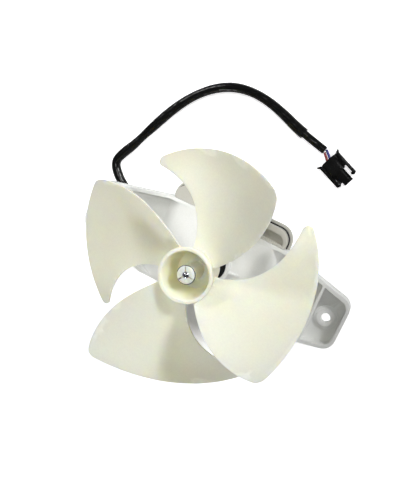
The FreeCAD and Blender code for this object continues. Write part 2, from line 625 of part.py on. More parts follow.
def board_pieces():
    """Driver chip, position sensor, capacitor and lead terminal on the board."""
    top = size("board_height") + size("board_thickness")
    half, high = level(BOARD_HALF), level(BOARD_HIGH)
    chip_length, chip_width, chip_height = 8, 6, 1.5
    leg_width, leg_reach, leg_height, leg_pitch = 0.5, 0.9, 0.7, 1.7
    x, y = 0.42 * half, 0.73 * high
    chip = Part.makeBox(chip_length, chip_width, chip_height, V(x, y, top))
    for row in (-leg_reach, chip_width):
        for number in range(4):
            leg = V(x + 1.2 + leg_pitch * number, y + row, top)
            chip = chip.fuse(Part.makeBox(leg_width, leg_reach, leg_height, leg))
    add_solid("driver_chip", chip)
    sensor = Part.makeBox(3, 1.2, chip_height, V(-1.5, size("bearing_radius") + 3.2, top))
    add_solid("position_sensor", sensor)
    can_radius, can_height = 3.2, 7.5
    can = Part.makeCylinder(can_radius, can_height, V(-0.14 * half, 0.84 * high, top))
    can = can.makeChamfer(0.4, [can.Edges[0]])
    add_solid("filter_capacitor", can)
    length, width, height, pitch = 5, 9, 5.2, 2.7
    x, y = 0.5 - half, size("gland_across") + size("gland_flange_radius") + 3
    terminal = Part.makeBox(length, width, height, V(x, y, top))
    for number in range(3):
        mouth = V(x, y + 0.9 + pitch * number, top + 1)
        terminal = terminal.cut(Part.makeBox(0.5 * length, 1.8, 0.6 * height, mouth))
    return add_solid("lead_terminal", terminal)


def shaft_parts():
    radius = size("shaft_radius")
    top = size("hub_plane") - size("shaft_setback")
    foot, dome = size("shaft_foot"), size("shaft_dome")
    ball = 0.5 * (radius * radius + dome * dome) / dome
    arc = Part.Arc(V(radius, 0, top - dome), V(ball * math.sin(0.5 * math.asin(radius / ball)), 0,
                   top - ball + ball * math.cos(0.5 * math.asin(radius / ball))), V(0, 0, top))
    lines = [V(0, 0, top), V(0, 0, foot), V(radius - 0.3, 0, foot), V(radius, 0, foot + 0.3),
             V(radius, 0, top - dome)]
    edges = [Part.makeLine(a, b) for a, b in zip(lines[:-1], lines[1:])]
    face = Part.Face(Part.Wire(edges + [arc.toShape()]))
    add_solid("motor_shaft", face.revolve(V(0, 0, 0), UP, 360))
    rotor_foot, height = size("rotor_foot"), size("magnet_height")
    add_solid("rotor_magnet", tube(size("magnet_radius"), size("magnet_bore"), rotor_foot, height))
    add_solid("rotor_core", tube(size("magnet_bore"), radius, rotor_foot, height))
    spacer_top = level(LID_FOOT) - size("bearing_lip") - size("spacer_gap")
    add_solid("front_spacer", tube(size("spacer_radius"), radius, rotor_foot + height,
                                   spacer_top - rotor_foot - height))
    spacer_foot = size("cover_plate") + size("bearing_height") + size("spacer_gap")
    add_solid("rear_spacer", tube(size("spacer_radius"), radius, spacer_foot, rotor_foot - spacer_foot))
    clip_foot = level(LID_TOP) + size("cap_flange") + size("cap_rise") + size("clip_gap")
    clip = tube(size("clip_radius"), radius, clip_foot, size("clip_height"))
    mouth = Part.makeBox(size("clip_radius") + 1, 1.5 * radius, size("clip_height"),
                         V(0, -0.75 * radius, clip_foot))
    return add_solid("retaining_ring", clip.cut(mouth))


# Impeller: four swept blades on a tapered cup hub with a split collet

def stations():
    """Blade stations as dictionaries of angles in degrees and lengths in millimetres."""
    rows = []
    for number in range(len(STATIONS)):
        row = {}
        for name in STATION_SIZES:
            value = float(getattr(sheet, "station_%s_%s" % (chr(97 + number), name)))
            row[name] = value if name.endswith("angle") else value * size("tip_radius")
        rows.append(row)
    return rows


def blade_height(row, share):
    """Height at a share of the way from trailing (0) to leading edge (1), through three heights."""
    low, middle, high = row["trail_height"], row["middle_height"], row["lead_height"]
    return (low * (share - 0.5) * (share - 1) * 2 + middle * share * (1 - share) * 4
            + high * share * (share - 0.5) * 2)


def blade_point(row, share):
    angle = math.radians(row["trail_angle"] + (row["lead_angle"] - row["trail_angle"]) * share)
    return V(row["radius"] * math.cos(angle), row["radius"] * math.sin(angle), blade_height(row, share))


def edge_curve(points):
    curve = Part.BSplineCurve()
    curve.interpolate(points)
    return curve.toShape()


def flat(point):
    return V(point.x, point.y, 0)


def blade():
    """One blade: a swept, twisted skin given its thickness and cut to its plan outline."""
    rows = stations()
    tip = size("tip_radius")
    shares = [-0.12 + 1.24 * number / 8 for number in range(9)]
    grid = [[blade_point(row, share) for share in shares] for row in rows]
    beyond = [point + (point - before) * 0.15 for point, before in zip(grid[-1], grid[-2])]
    grid.append(beyond)
    surface = Part.BSplineSurface()
    surface.interpolate(grid)
    skin = surface.toShape().extrude(V(0, 0, size("blade_thickness")))

    lead = [flat(blade_point(row, 1)) for row in rows]
    trail = [flat(blade_point(row, 0)) for row in rows]
    start = math.atan2(trail[-1].y, trail[-1].x)
    stop = math.atan2(lead[-1].y, lead[-1].x)
    middle = 0.5 * (start + stop)
    tip_arc = Part.Arc(trail[-1], V(tip * math.cos(middle), tip * math.sin(middle), 0), lead[-1]).toShape()
    plan = Part.Wire([edge_curve(trail), tip_arc, edge_curve(lead[::-1]), Part.makeLine(lead[0], trail[0])])
    prism = Part.Face(plan).extrude(V(0, 0, 2 * tip))
    prism.translate(V(0, 0, -tip))
    corners = []
    for edge in prism.Edges:
        spot = edge.CenterOfMass
        if upright(edge.Vertexes[0].Point - edge.Vertexes[-1].Point) and edge.Length > tip:
            if (flat(spot) - trail[-1]).Length < 0.5:
                corners.append((edge, size("corner_radius")))
            if (flat(spot) - lead[-1]).Length < 0.5:
                corners.append((edge, size("horn_radius")))
    for edge, radius in corners:
        match = [item for item in prism.Edges if (item.CenterOfMass - edge.CenterOfMass).Length < 0.01
                 and abs(item.Length - edge.Length) < 0.01]
        prism = prism.makeFillet(radius, match)
    solid = skin.common(prism)
    solid.translate(V(0, 0, -0.5 * size("blade_thickness")))
    return solid


COLLET_SLOT_TURNS = (90, 210, 330)


def hub():
    """Tapered cup with a floor, a hollow back, three ribs and a central tube split at its front."""
    front, back, length = size("hub_front_radius"), size("hub_back_radius"), size("hub_length")
    wall, depth, floor = size("hub_wall"), size("cup_depth"), size("cup_floor")

    def outside(height):
        return front + (back - front) * -height / length

    lip = 0.5
    shell = turned_solid([
        (outside(-lip), -lip), (front - lip, 0), (front - wall + 0.3, 0), (outside(-lip) - wall, -lip),
        (outside(-depth) - wall, -depth), (0, -depth), (0, -depth - floor),
        (outside(-depth - floor) - wall, -depth - floor), (back - wall, -length), (back, -length),
    ])
    collet = size("collet_radius")
    top = -size("collet_setback")
    core = turned_solid([(0, -length), (collet, -length), (collet, top - 0.6), (collet - 0.6, top), (0, top)])
    hub_solid = shell.fuse(core)
    rib = Part.makeBox(back - 0.5 * wall, size("hub_rib_thickness"), length - depth - 0.5 * floor,
                       V(0, -0.5 * size("hub_rib_thickness"), -length))
    for turn in (30, 150, 270):
        web = rib.copy()
        web.rotate(V(0, 0, 0), UP, turn)
        hub_solid = hub_solid.fuse(web)
    groove = Part.makeTorus(collet + 0.5 * size("spring_wire_radius"), size("spring_wire_radius") + 0.05,
                            V(0, 0, -size("spring_setback")))
    hub_solid = hub_solid.cut(groove)
    slot = Part.makeBox(collet + 1, size("collet_slot"), size("collet_slot_depth"),
                        V(0, -0.5 * size("collet_slot"), top - size("collet_slot_depth")))
    for turn in COLLET_SLOT_TURNS:
        cut = slot.copy()
        cut.rotate(V(0, 0, 0), UP, turn)
        hub_solid = hub_solid.cut(cut)
    bore = disc(size("shaft_radius") + size("collet_bore_clearance"), -length - 1, length + 2)
    return hub_solid.cut(bore)


def impeller():
    solid = hub()
    wing = blade()
    count = int(size("blade_count"))
    cup = hub_cone()
    for number in range(count):
        turned = wing.copy()
        turned.rotate(V(0, 0, 0), UP, 360.0 * number / count)
        solid = solid.fuse(turned.cut(cup))
    solid.rotate(V(0, 0, 0), UP, size("impeller_turn"))
    solid.translate(V(0, 0, size("hub_plane")))
    return add_solid("impeller", solid)


def hub_cone():
    """Space inside the hub's wall, kept free of the blade roots."""
    front, back, length = size("hub_front_radius"), size("hub_back_radius"), size("hub_length")
    inset = 0.7 * size("hub_wall")
    return turned_solid([(0, -length), (back - inset, -length), (front - inset, 0), (0, 0)])


def spring_clip():
    """Open wire ring in the groove round the collet, one end turned inwards into a slot."""
    wire = size("spring_wire_radius")
    ring = size("collet_radius") + 0.5 * wire
    clip = Part.makeTorus(ring, wire, V(0, 0, 0), UP, 0, 360, 360 - size("spring_gap_angle"))
    clip = clip.fuse(Part.makeSphere(wire, V(ring, 0, 0)))
    clip = clip.fuse(Part.makeCylinder(wire, size("spring_leg"), V(ring, 0, 0), V(-1, 0, 0)))
    clip.rotate(V(0, 0, 0), UP, COLLET_SLOT_TURNS[1] + size("impeller_turn"))
    clip.translate(V(0, 0, size("hub_plane") - size("spring_setback")))
    return add_solid("spring_clip", clip)


# Lead: gland, sleeved cord that lies on the ground, two wires and a wire-to-wire connector

CORD_POINTS = [
    (-41.0, 10.0, 6.4), (-48.0, 10.0, 6.4), (-57.0, 10.2, 4.6), (-66.6, 11.2, 3.2), (-76.0, 13.6, 3.0),
    (-84.5, 17.2, 3.0), (-91.6, 22.6, 3.0), (-97.0, 30.0, 3.0), (-93.6, 38.0, 3.0), (-88.8, 45.6, 3.0),
    (-85.0, 53.6, 3.0), (-80.6, 62.6, 3.0), (-75.4, 73.0, 3.0), (-69.0, 84.2, 3.0), (-60.6, 95.2, 3.0),
    (-50.0, 104.6, 3.0), (-37.6, 110.8, 3.0), (-24.0, 112.6, 3.0), (-10.2, 110.8, 3.0),
    (2.6, 106.8, 3.0), (12.6, 102.9, 3.0), (18.6, 101.3, 3.0),
]
END_POINTS = [(18.65, 101.287, 3.0), (27.2, 99.007, 3.0), (35.4, 97.0, 3.0)]
CONNECTOR_BACK, CONNECTOR_NOSE = (40.05, 92.65), (58.5, 84.9)


def tube_along(points, diameter, label):
    """Tube along straight runs joined by tangent arcs; prints its radii and checks its volume."""
    spots_on = [V(*point) for point in points]
    edges, last, radii = [], spots_on[0], []
    for before, corner, after in zip(spots_on[:-2], spots_on[1:-1], spots_on[2:]):
        into, out = corner - before, after - corner
        half = 0.5 * into.getAngle(out)
        trim = 0.45 * min(into.Length, out.Length)
        radii.append(round(trim / math.tan(half), 1))
        start = corner - V(into).normalize() * trim
        end = corner + V(out).normalize() * trim
        inward = (V(out).normalize() - V(into).normalize()).normalize()
        radius = trim / math.tan(half)
        crest = corner + inward * radius * (1 / math.cos(half) - 1)
        edges.append(Part.makeLine(last, start))
        edges.append(Part.Arc(start, crest, end).toShape())
        last = end
    edges.append(Part.makeLine(last, spots_on[-1]))
    path = Part.Wire(edges)
    section = Part.Wire(Part.makeCircle(0.5 * diameter, spots_on[0], spots_on[1] - spots_on[0]))
    solid = path.makePipeShell([section], True, False)
    expected = math.pi * diameter * diameter / 4 * path.Length
    print(label, "radii", radii, "length", round(path.Length, 1), "volume", round(solid.Volume / expected, 4))
    return add_solid(label, solid)


def cable_gland():
    """Rubber grommet through the cover's side wall with a ribbed nose round the cord."""
    wall_face = size("box_half_length") + size("cover_overhang")
    inner_face = wall_face - size("cover_wall")
    tip = -CORD_POINTS[0][0] - 0.05
    neck, flange_radius, flange = size("gland_neck_radius") - 0.05, size("gland_flange_radius"), size("gland_flange")
    nose = 0.5 * size("cord_diameter") + 0.7
    profile = [
        (0, inner_face - flange), (flange_radius, inner_face - flange), (flange_radius, inner_face - 0.02),
        (neck, inner_face - 0.02), (neck, wall_face + 0.02), (flange_radius, wall_face + 0.02),
        (flange_radius, wall_face + flange), (nose + 0.5, wall_face + flange + 0.6), (nose + 0.4, tip - 3.6),
        (nose - 0.2, tip - 3.6), (nose - 0.2, tip - 2.8), (nose + 0.2, tip - 2.8), (nose + 0.2, tip - 1.9),
        (nose - 0.3, tip - 1.9), (nose - 0.3, tip - 1.1), (nose, tip - 1.1), (nose, tip), (0, tip),
    ]
    gland = turned_solid(profile)
    gland.rotate(V(0, 0, 0), V(0, 1, 0), -90)
    gland.translate(V(0, size("gland_across"), size("gland_height")))
    return add_solid("cable_gland", gland)


def connector_place():
    """Placement of the connector on the ground, its nose pointing away from the wires."""
    across, along = (b - a for a, b in zip(CONNECTOR_BACK, CONNECTOR_NOSE))
    turn = math.degrees(math.atan2(along, across))
    height = 0.5 * size("connector_height") + 0.3
    return FreeCAD.Placement(V(CONNECTOR_BACK[0], CONNECTOR_BACK[1], height), FreeCAD.Rotation(UP, turn))


def wire_line(sign):
    """Ends of one wire: just past the sleeve's end, and inside the connector's back face."""
    place = connector_place()
    last = V(*END_POINTS[-1])
    entry = place.multVec(V(0, sign * size("wire_spread"), last.z - place.Base.z))
    heading = (last - V(*END_POINTS[-2])).normalize()
    side = V(-heading.y, heading.x, 0)
    near = last + heading * 0.3 * size("wire_diameter") + side * sign * 0.62 * size("wire_diameter")
    along = (entry - near).normalize()
    return near, entry + along * size("wire_entry_depth")


def lead_wires():
    """Two coloured wires between the sleeve's end and the connector."""
    for label, sign in (("red_wire", -1), ("blue_wire", 1)):
        near, far = wire_line(sign)
        wire = Part.makeCylinder(0.5 * size("wire_diameter"), (far - near).Length, near, far - near)
        add_solid(label, wire)


def bevelled_bar(start, stop, half, foot, top, bevel):
    """Bar along X with one long upper edge bevelled."""
    points = [(-half, foot), (half, foot), (half, top - bevel), (half - bevel, top), (-half, top)]
    wire = Part.makePolygon([V(start, y, z) for y, z in points + points[:1]])
    return Part.Face(wire).extrude(V(stop - start, 0, 0))


def connector_housing():
    """Small two-way housing with a latch arm on each side; X points to the nose."""
    length, height = size("connector_length"), size("connector_height")
    half, top = 0.5 * size("connector_width"), 0.5 * height
    nose_half, bevel = 0.7 * half, size("connector_bevel")
    shell = bevelled_bar(0, 0.54 * length, half, -top, top, bevel)
    shell = shell.fuse(bevelled_bar(0.5 * length, length, nose_half, -0.8 * top, 0.8 * top, bevel))
    socket_width, socket_depth = 0.8 * size("contact_pitch"), 0.25 * length
    reach, thick = size("latch_reach"), size("latch_thickness")
    outer, inner = half + reach, half + reach - thick
    web_top = -0.2 * top
    for sign in (1, -1):
        socket = V(length - socket_depth, 0.5 * (sign * size("contact_pitch") - socket_width), -0.5 * top)
        shell = shell.cut(Part.makeBox(socket_depth, socket_width, top, socket))
        points = [
            (0.5 * length, half - 0.2), (0.38 * length, half - 0.2), (0.38 * length, inner),
            (0.04 * length, inner), (-0.01 * length, inner + 0.8), (-0.05 * length, outer + 0.9),
            (-0.01 * length, outer + 1.1), (0.06 * length, outer), (0.88 * length, outer),
            (0.92 * length, inner), (0.87 * length, inner - 1.3), (0.8 * length, inner - 1.3),
            (0.8 * length, inner), (0.5 * length, inner),
        ]
        low = -0.5 * size("latch_width")
        wire = Part.makePolygon([V(x, sign * y, low) for x, y in points + points[:1]])
        shell = shell.fuse(Part.Face(wire).extrude(V(0, 0, size("latch_width"))))
        stop = 0.5 * length if sign > 0 else 0.86 * length
        near = half - 0.2 if sign > 0 else nose_half - 0.2
        foot = V(0, near if sign > 0 else -inner - 0.2, low)
        shell = shell.fuse(Part.makeBox(stop, inner + 0.2 - near, web_top - low, foot))
    place = connector_place()
    back = place.inverse()
    for sign in (1, -1):
        near, far = (back.multVec(point) for point in wire_line(sign))
        step = (far - near).normalize()
        entry = Part.makeCylinder(0.5 * size("wire_diameter") + size("wire_entry_gap"),
                                  (far - near).Length + 0.4, near, step)
        shell = shell.cut(entry)
    return add_solid("connector_housing", shell.removeSplitter(), place)


def connector_contacts():
    """Two folded contacts inside the housing's nose."""
    length, pitch = size("connector_length"), size("contact_pitch")
    start, box_width, blade_width, tongue_height = 0.75 * length, 0.6 * pitch, 0.4 * pitch, 0.8
    group = []
    for sign in (1, -1):
        middle = 0.5 * sign * pitch
        tongue = Part.makeBox(0.2 * length, blade_width, tongue_height,
                              V(start, middle - 0.5 * blade_width, -0.5 * tongue_height))
        box = Part.makeBox(0.08 * length, box_width, box_width,
                           V(start, middle - 0.5 * box_width, -0.5 * box_width))
        group.append(tongue.fuse(box).removeSplitter())
    return add_solid("connector_contacts", Part.makeCompound(group), connector_place())


mounting_bracket()
motor_housing()
housing_seal()
rear_cover()
cover_screws()
bracket_screws()
bearing_cap()
sleeve_bearing("front_bearing", level(LID_FOOT) - size("bearing_lip"))
sleeve_bearing("rear_bearing", size("cover_plate"))
stator_core()
stator_windings()
circuit_board()
board_pieces()
shaft_parts()
impeller()
spring_clip()
cable_gland()
tube_along(CORD_POINTS, size("cord_diameter"), "cable_sleeve")
tube_along(END_POINTS, size("end_sleeve_diameter"), "end_sleeve")
lead_wires()
connector_housing()
connector_contacts()

doc.recompute()
for item in doc.Objects:
    if "Invalid" in item.State or "Error" in item.State:
        raise RuntimeError("%s failed: %s" % (item.Name, item.State))
nodes = [item for item in doc.Objects if item.TypeId in ("PartDesign::Body", "Part::Feature")]
for item in nodes:
    if item.Shape.isNull() or not item.Shape.isValid():
        raise RuntimeError("%s has no valid shape" % item.Label)
for item in nodes:
    item.Shape.exportStep(os.path.join("parts", item.Label + ".step"))
print(len(nodes), "pieces")
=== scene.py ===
import json
import math

import bpy
from mathutils import Matrix, Vector


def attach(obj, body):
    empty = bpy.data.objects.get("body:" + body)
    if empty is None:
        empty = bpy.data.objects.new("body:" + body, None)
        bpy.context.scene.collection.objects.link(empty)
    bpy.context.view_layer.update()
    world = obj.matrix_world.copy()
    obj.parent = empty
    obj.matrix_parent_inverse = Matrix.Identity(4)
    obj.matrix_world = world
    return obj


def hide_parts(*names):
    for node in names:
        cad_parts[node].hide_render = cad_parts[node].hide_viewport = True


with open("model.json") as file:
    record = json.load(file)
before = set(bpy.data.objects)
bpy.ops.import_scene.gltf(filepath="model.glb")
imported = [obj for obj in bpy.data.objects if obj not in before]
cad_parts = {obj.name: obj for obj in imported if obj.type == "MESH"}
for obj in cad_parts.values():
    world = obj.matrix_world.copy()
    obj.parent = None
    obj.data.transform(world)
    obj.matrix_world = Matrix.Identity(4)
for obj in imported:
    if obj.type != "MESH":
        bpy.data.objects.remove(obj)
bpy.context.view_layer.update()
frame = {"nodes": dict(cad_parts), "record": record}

nodes = frame["nodes"]
scene = bpy.context.scene
MM = 0.001

# Camera: its place in metres, and the directions that are right and up in the picture

CAMERA_PLACE = (0.08198, 0.10877, 0.4442)
CAMERA_RIGHT = (0.87468, 0.39354, -0.28298)
CAMERA_UP = (-0.44026, 0.88924, -0.12419)
CAMERA_LENS = 47.7
CAMERA_SENSOR = 36
CAMERA_SIGHT = (0.01, 20)


def add_camera():
    """Looks down on the impeller, 18 degrees off the shaft."""
    data = bpy.data.cameras.new("picture_camera")
    data.lens = CAMERA_LENS
    data.sensor_width = CAMERA_SENSOR
    data.clip_start, data.clip_end = CAMERA_SIGHT
    camera = bpy.data.objects.new("picture_camera", data)
    scene.collection.objects.link(camera)
    right, up = Vector(CAMERA_RIGHT).normalized(), Vector(CAMERA_UP).normalized()
    turn = Matrix((right, up, right.cross(up))).transposed().to_4x4()
    camera.matrix_world = Matrix.Translation(CAMERA_PLACE) @ turn
    scene.camera = camera


# Helpers that put nodes in a material or a group, with the socket numbers of a colour mix

WHITE = (1, 1, 1, 1)
MIX_SHARE, MIX_FIRST, MIX_SECOND, MIX_RESULT = 0, 6, 7, 2


def rgba(colour, factor=1.0):
    """Opaque colour, lifted by a factor."""
    return (colour[0] * factor, colour[1] * factor, colour[2] * factor, 1)


def put(tree, kind, inputs=None, **settings):
    """Adds a node with its settings, and with values or links for its inputs."""
    node = tree.nodes.new(kind)
    for name, value in settings.items():
        setattr(node, name, value)
    for name, value in (inputs or {}).items():
        if isinstance(value, bpy.types.NodeSocket):
            tree.links.new(value, node.inputs[name])
        else:
            node.inputs[name].default_value = value
    return node


def noise(tree, place, scale, detail, roughness=0.5, distortion=0.0):
    """Cloudy pattern of values about a half."""
    node = put(tree, "ShaderNodeTexNoise", {"Vector": place, "Scale": scale, "Detail": detail,
                                            "Roughness": roughness, "Distortion": distortion})
    return node.outputs["Fac"]


def ramp(tree, value, start, end, low=0.0, high=1.0):
    """Goes from low to high while the value goes from start to end."""
    node = put(tree, "ShaderNodeMapRange", {"Value": value, "From Min": start, "From Max": end,
                                            "To Min": low, "To Max": high})
    return node.outputs["Result"]


def product(tree, first, second):
    """Two values multiplied."""
    return put(tree, "ShaderNodeMath", {0: first, 1: second}, operation="MULTIPLY").outputs["Value"]


def blend(tree, share, first, second, way="MIX"):
    """Goes from the first colour to the second as the share goes from 0 to 1."""
    node = put(tree, "ShaderNodeMix", {MIX_SHARE: share, MIX_FIRST: first, MIX_SECOND: second},
               data_type="RGBA", blend_type=way)
    return node.outputs[MIX_RESULT]


# Surface effects that the finishes draw on, each a node group

def new_group(name, inputs, outputs):
    """Node group with named inputs (label, kind, value) and outputs (label, kind)."""
    tree = bpy.data.node_groups.new(name, "ShaderNodeTree")
    for label, kind, value in inputs:
        socket = tree.interface.new_socket(label, in_out="INPUT", socket_type="NodeSocket" + kind)
        if value is not None:
            socket.default_value = value
    for label, kind in outputs:
        tree.interface.new_socket(label, in_out="OUTPUT", socket_type="NodeSocket" + kind)
    return tree, tree.nodes.new("NodeGroupInput").outputs, tree.nodes.new("NodeGroupOutput").inputs


def tone_drift_group():
    """Colour that drifts slowly over the surface, with fine flecks."""
    tree, given, out = new_group(
        "tone_drift",
        [("Place", "Vector", None), ("Colour", "Color", rgba((0.8, 0.8, 0.8))),
         ("Far colour", "Color", rgba((0.7, 0.7, 0.7))), ("Patch size", "Float", 40.0),
         ("Fleck size", "Float", 900.0), ("Flecks", "Float", 0.1)],
        [("Colour", "Color")])
    patches = noise(tree, given["Place"], given["Patch size"], detail=3.0, roughness=0.55)
    share = ramp(tree, patches, start=0.35, end=0.68)
    drift = blend(tree, share, given["Colour"], given["Far colour"])
    flecks = noise(tree, given["Place"], given["Fleck size"], detail=2.0)
    shade = ramp(tree, flecks, start=0.3, end=0.7, low=0.85, high=1.0)
    tree.links.new(blend(tree, given["Flecks"], drift, shade, way="MULTIPLY"), out["Colour"])
    return tree


def moulded_grain_group():
    """Height of a fine moulded grain with slow sink marks."""
    tree, given, out = new_group(
        "moulded_grain",
        [("Place", "Vector", None), ("Grain size", "Float", 1800.0), ("Grain", "Float", 1.0),
         ("Sink size", "Float", 60.0), ("Sink", "Float", 0.5)],
        [("Height", "Float")])
    grain = noise(tree, given["Place"], given["Grain size"], detail=3.0, roughness=0.6)
    sink = noise(tree, given["Place"], given["Sink size"], detail=1.0)
    both = put(tree, "ShaderNodeMath", {0: sink, 1: given["Sink"], 2: product(tree, grain, given["Grain"])},
               operation="MULTIPLY_ADD")
    tree.links.new(both.outputs["Value"], out["Height"])
    return tree


def rubbed_and_highlit_edges_group():
    """Colour with paler convex edges and darker inner corners, from the shape's own curvature; the paler
    edges are rubbed wear, and where they are set strong they are a painted highlight along the rims.
    """
    tree, given, out = new_group(
        "rubbed_and_highlit_edges",
        [("Place", "Vector", None), ("Colour", "Color", rgba((0.8, 0.8, 0.8))),
         ("Edge colour", "Color", WHITE), ("Corner colour", "Color", rgba((0.4, 0.4, 0.4))),
         ("Rubbing and highlight", "Float", 0.4), ("Corner darkening", "Float", 0.4)],
        [("Colour", "Color")])
    curvature = put(tree, "ShaderNodeNewGeometry").outputs["Pointiness"]
    break_up = noise(tree, given["Place"], scale=420.0, detail=4.0)
    # Paler convex edges: rubbed wear, and a painted highlight along the rims where set strong
    rubbed_and_highlit = ramp(tree, curvature, start=0.505, end=0.56)
    uneven = ramp(tree, break_up, start=0.3, end=0.7, low=0.4, high=0.7)
    rubbing_and_highlight = product(tree, product(tree, rubbed_and_highlit, uneven), given["Rubbing and highlight"])
    pale = blend(tree, rubbing_and_highlight, given["Colour"], given["Edge colour"])
    # Darker inner corners, by curvature
    inner = ramp(tree, curvature, start=0.495, end=0.44)
    corner_darkening = product(tree, inner, given["Corner darkening"])
    tree.links.new(blend(tree, corner_darkening, pale, given["Corner colour"]), out["Colour"])
    return tree


def gloss_change_group():
    """Roughness that changes in soft patches between two values."""
    tree, given, out = new_group(
        "gloss_change",
        [("Place", "Vector", None), ("Patch size", "Float", 120.0), ("Smooth", "Float", 0.3),
         ("Dull", "Float", 0.5)],
        [("Roughness", "Float")])
    patches = noise(tree, given["Place"], given["Patch size"], detail=4.0, roughness=0.6)
    level = ramp(tree, patches, start=0.3, end=0.7, low=given["Smooth"], high=given["Dull"])
    tree.links.new(level, out["Roughness"])
    return tree


def sleeve_creases_group():
    """Height of soft folds and dents in thin sleeving."""
    tree, given, out = new_group("sleeve_creases", [("Place", "Vector", None)], [("Height", "Float")])
    folds = noise(tree, given["Place"], scale=150.0, detail=2.0, roughness=0.4, distortion=1.2)
    ridges = put(tree, "ShaderNodeTexVoronoi", {"Vector": given["Place"], "Scale": 110.0},
                 feature="DISTANCE_TO_EDGE")
    dents = ramp(tree, ridges.outputs["Distance"], start=0.0, end=0.25, high=0.5)
    both = put(tree, "ShaderNodeMath", {0: folds, 1: dents}, operation="ADD")
    tree.links.new(both.outputs["Value"], out["Height"])
    return tree


GROUPS = {}


def shared(tree, name, inputs):
    """Places a shared group in a material with its own values."""
    return put(tree, "ShaderNodeGroup", inputs, node_tree=GROUPS[name]).outputs


# Finishes: linear colours, lengths in metres, sizes of patterns in repeats a metre

# Radii where the painted warm light in the hub cup fades, at the cup wall and at the collet
CUP_RADIUS = (0.0149, 0.0138)
COLLET_RADIUS = (0.0064, 0.0078)
TONE_PATCHES = 35.0
TONE_FLECKS = 0.25
GRAIN_SIZE = 1500.0
GRAIN_STRENGTH = 0.5
GRAIN_HEIGHT = 0.0002
CREASE_HEIGHT = 0.0012
GLOW_DEPTH = 0.006
GLOW_REACH = (1.0, 0.8, 0.45)


def start_material(name):
    """New material, with its tree, its shader and the place on the piece."""
    material = bpy.data.materials.new(name)
    material.use_nodes = True
    tree = material.node_tree
    shader = tree.nodes["Principled BSDF"]
    place = tree.nodes.new("ShaderNodeTexCoord").outputs["Object"]
    return material, tree, shader, place


def paint_cup_glow(tree, place, finish, colour):
    """Painted warm light inside the hub cup: a deeper, yellower colour between the collet and the wall of
    the cup, by distance from the shaft axis, standing in for light bounced in the cup and glowing through
    its wall.
    """
    flat = put(tree, "ShaderNodeVectorMath", {0: place, 1: (1.0, 1.0, 0.0)}, operation="MULTIPLY")
    across = put(tree, "ShaderNodeVectorMath", {0: flat.outputs["Vector"]}, operation="LENGTH")
    within = ramp(tree, across.outputs["Value"], start=CUP_RADIUS[0], end=CUP_RADIUS[1])
    beyond = ramp(tree, across.outputs["Value"], start=COLLET_RADIUS[0], end=COLLET_RADIUS[1])
    return blend(tree, product(tree, within, beyond), finish, rgba(colour))


def moulding(name, colour, far, corner, smooth, dull, grain=0.25, rubbing_and_highlight=0.3, corner_darkening=0.3, metallic=0.0,
             glow_through=0.0, creases=0.0, shine=0.5, edge_lift=1.1, cup=None):
    """Moulded or plated finish: drifting tone, paler edges that are wear and, where set strong, a painted
    highlight, patchy gloss and a fine grain, with painted warm light in the hub cup when a cup colour is
    given.
    """
    material, tree, shader, place = start_material(name)
    tone = shared(tree, "tone_drift", {"Place": place, "Colour": rgba(colour), "Far colour": rgba(far),
                                       "Patch size": TONE_PATCHES, "Flecks": TONE_FLECKS})
    rubbed_and_highlit = shared(tree, "rubbed_and_highlit_edges", {"Place": place, "Colour": tone["Colour"],
                                      "Edge colour": rgba(colour, edge_lift), "Corner colour": rgba(corner),
                                      "Rubbing and highlight": rubbing_and_highlight, "Corner darkening": corner_darkening})
    gloss = shared(tree, "gloss_change", {"Place": place, "Smooth": smooth, "Dull": dull})
    height = shared(tree, "moulded_grain", {"Place": place, "Grain size": GRAIN_SIZE, "Grain": grain})
    bump = put(tree, "ShaderNodeBump",
               {"Height": height["Height"], "Strength": GRAIN_STRENGTH, "Distance": GRAIN_HEIGHT})
    if creases:
        folds = shared(tree, "sleeve_creases", {"Place": place})
        bump = put(tree, "ShaderNodeBump", {"Height": folds["Height"], "Strength": creases,
                                            "Distance": CREASE_HEIGHT, "Normal": bump.outputs["Normal"]})
    finish = rubbed_and_highlit["Colour"]
    # A cup colour paints warm bounce light into the hub cup
    if cup:
        finish = paint_cup_glow(tree, place, finish, cup)
    tree.links.new(finish, shader.inputs["Base Color"])
    tree.links.new(gloss["Roughness"], shader.inputs["Roughness"])
    tree.links.new(bump.outputs["Normal"], shader.inputs["Normal"])
    shader.inputs["Metallic"].default_value = metallic
    shader.inputs["Specular IOR Level"].default_value = shine
    shader.inputs["Subsurface Weight"].default_value = glow_through
    shader.inputs["Subsurface Radius"].default_value = GLOW_REACH
    shader.inputs["Subsurface Scale"].default_value = GLOW_DEPTH
    return material


